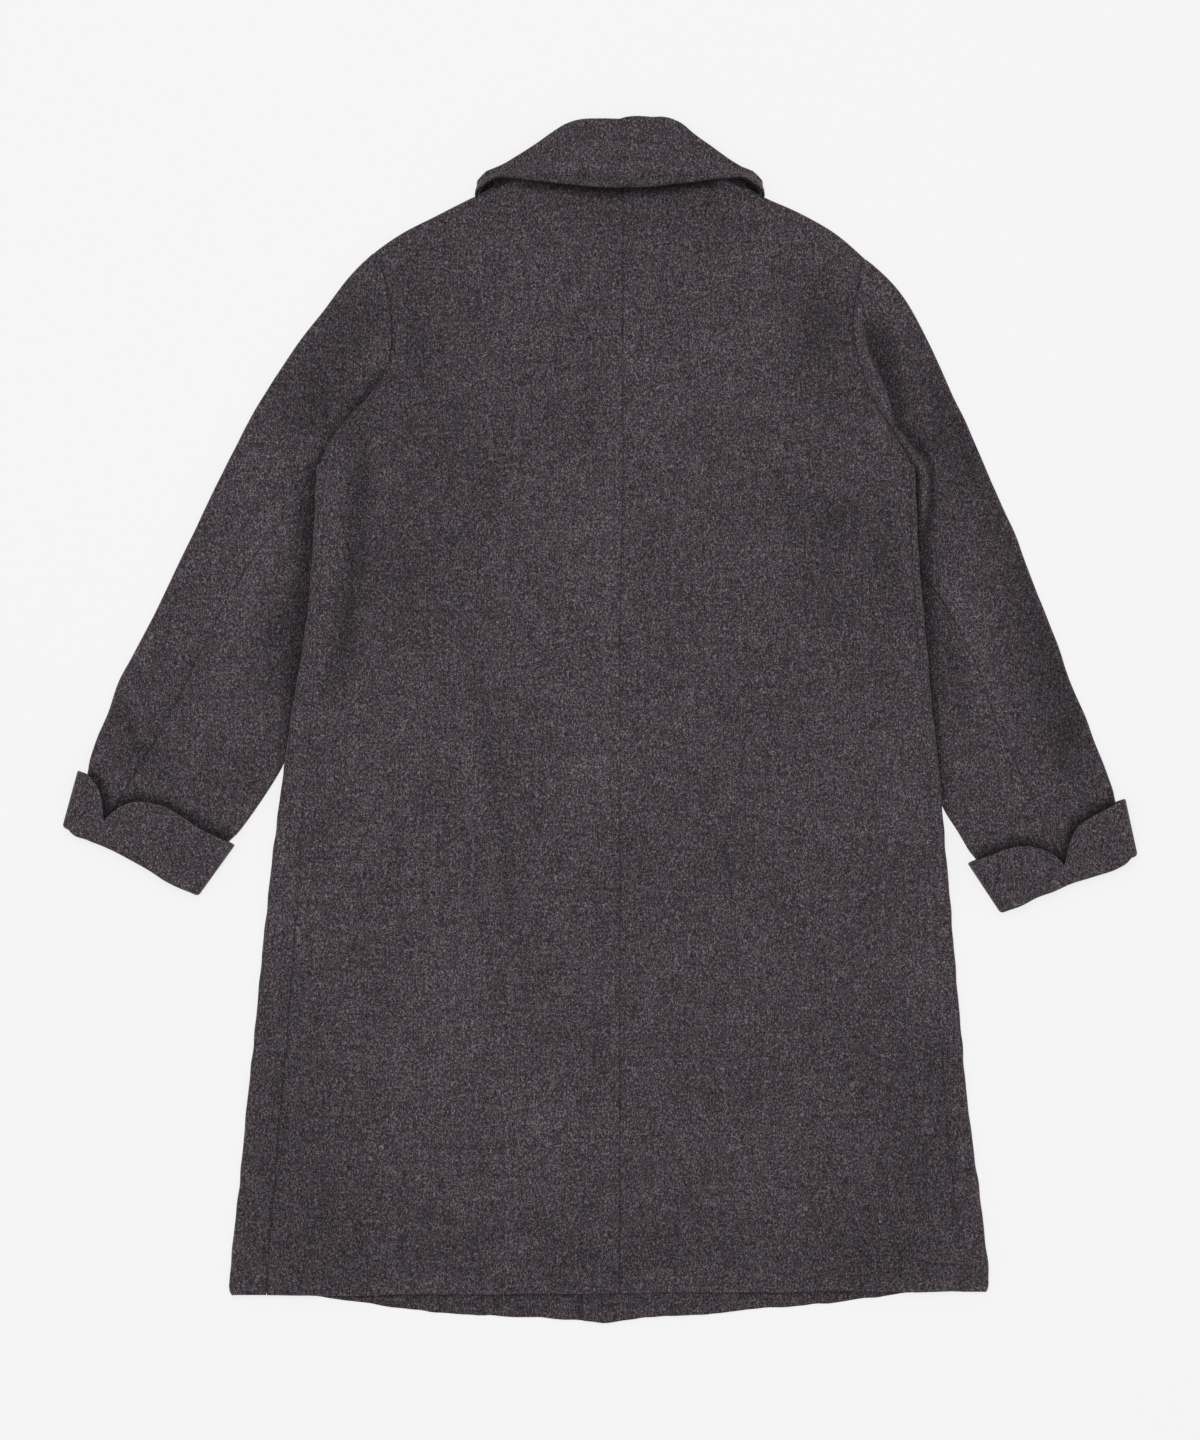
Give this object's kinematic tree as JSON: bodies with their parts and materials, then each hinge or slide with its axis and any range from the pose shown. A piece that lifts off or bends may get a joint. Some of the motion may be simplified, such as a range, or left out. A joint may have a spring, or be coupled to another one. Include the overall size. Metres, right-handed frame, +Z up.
{
  "type": "single-breasted coat",
  "caption": "Single-breasted wool coat with a rolled collar, seamed sleeves and notched turn-back cuffs, laid flat on its front with its back upwards.",
  "frame": {"origin": "centre of the bottom of the coat's box, on the surface that it lies on", "axes": "+Z up off the surface, +Y from the hem to the collar, +X to the wearer's right"},
  "size_m": [1.0324, 1.1557, 0.0172],
  "materials": {
    "wool": "felted charcoal melange wool, matt and napped",
    "horn": "dark horn, half matt"
  },
  "bodies": {
    "root": {"back_left": "wool", "back_right": "wool", "front_left": "wool", "front_right": "wool", "sleeve_left_top": "wool", "sleeve_left_under": "wool", "sleeve_right_top": "wool", "sleeve_right_under": "wool", "cuff_left": "wool", "cuff_right": "wool", "collar": "wool", "button_1": "horn", "button_2": "horn", "button_3": "horn", "button_4": "horn"}
  },
  "joints": []
}
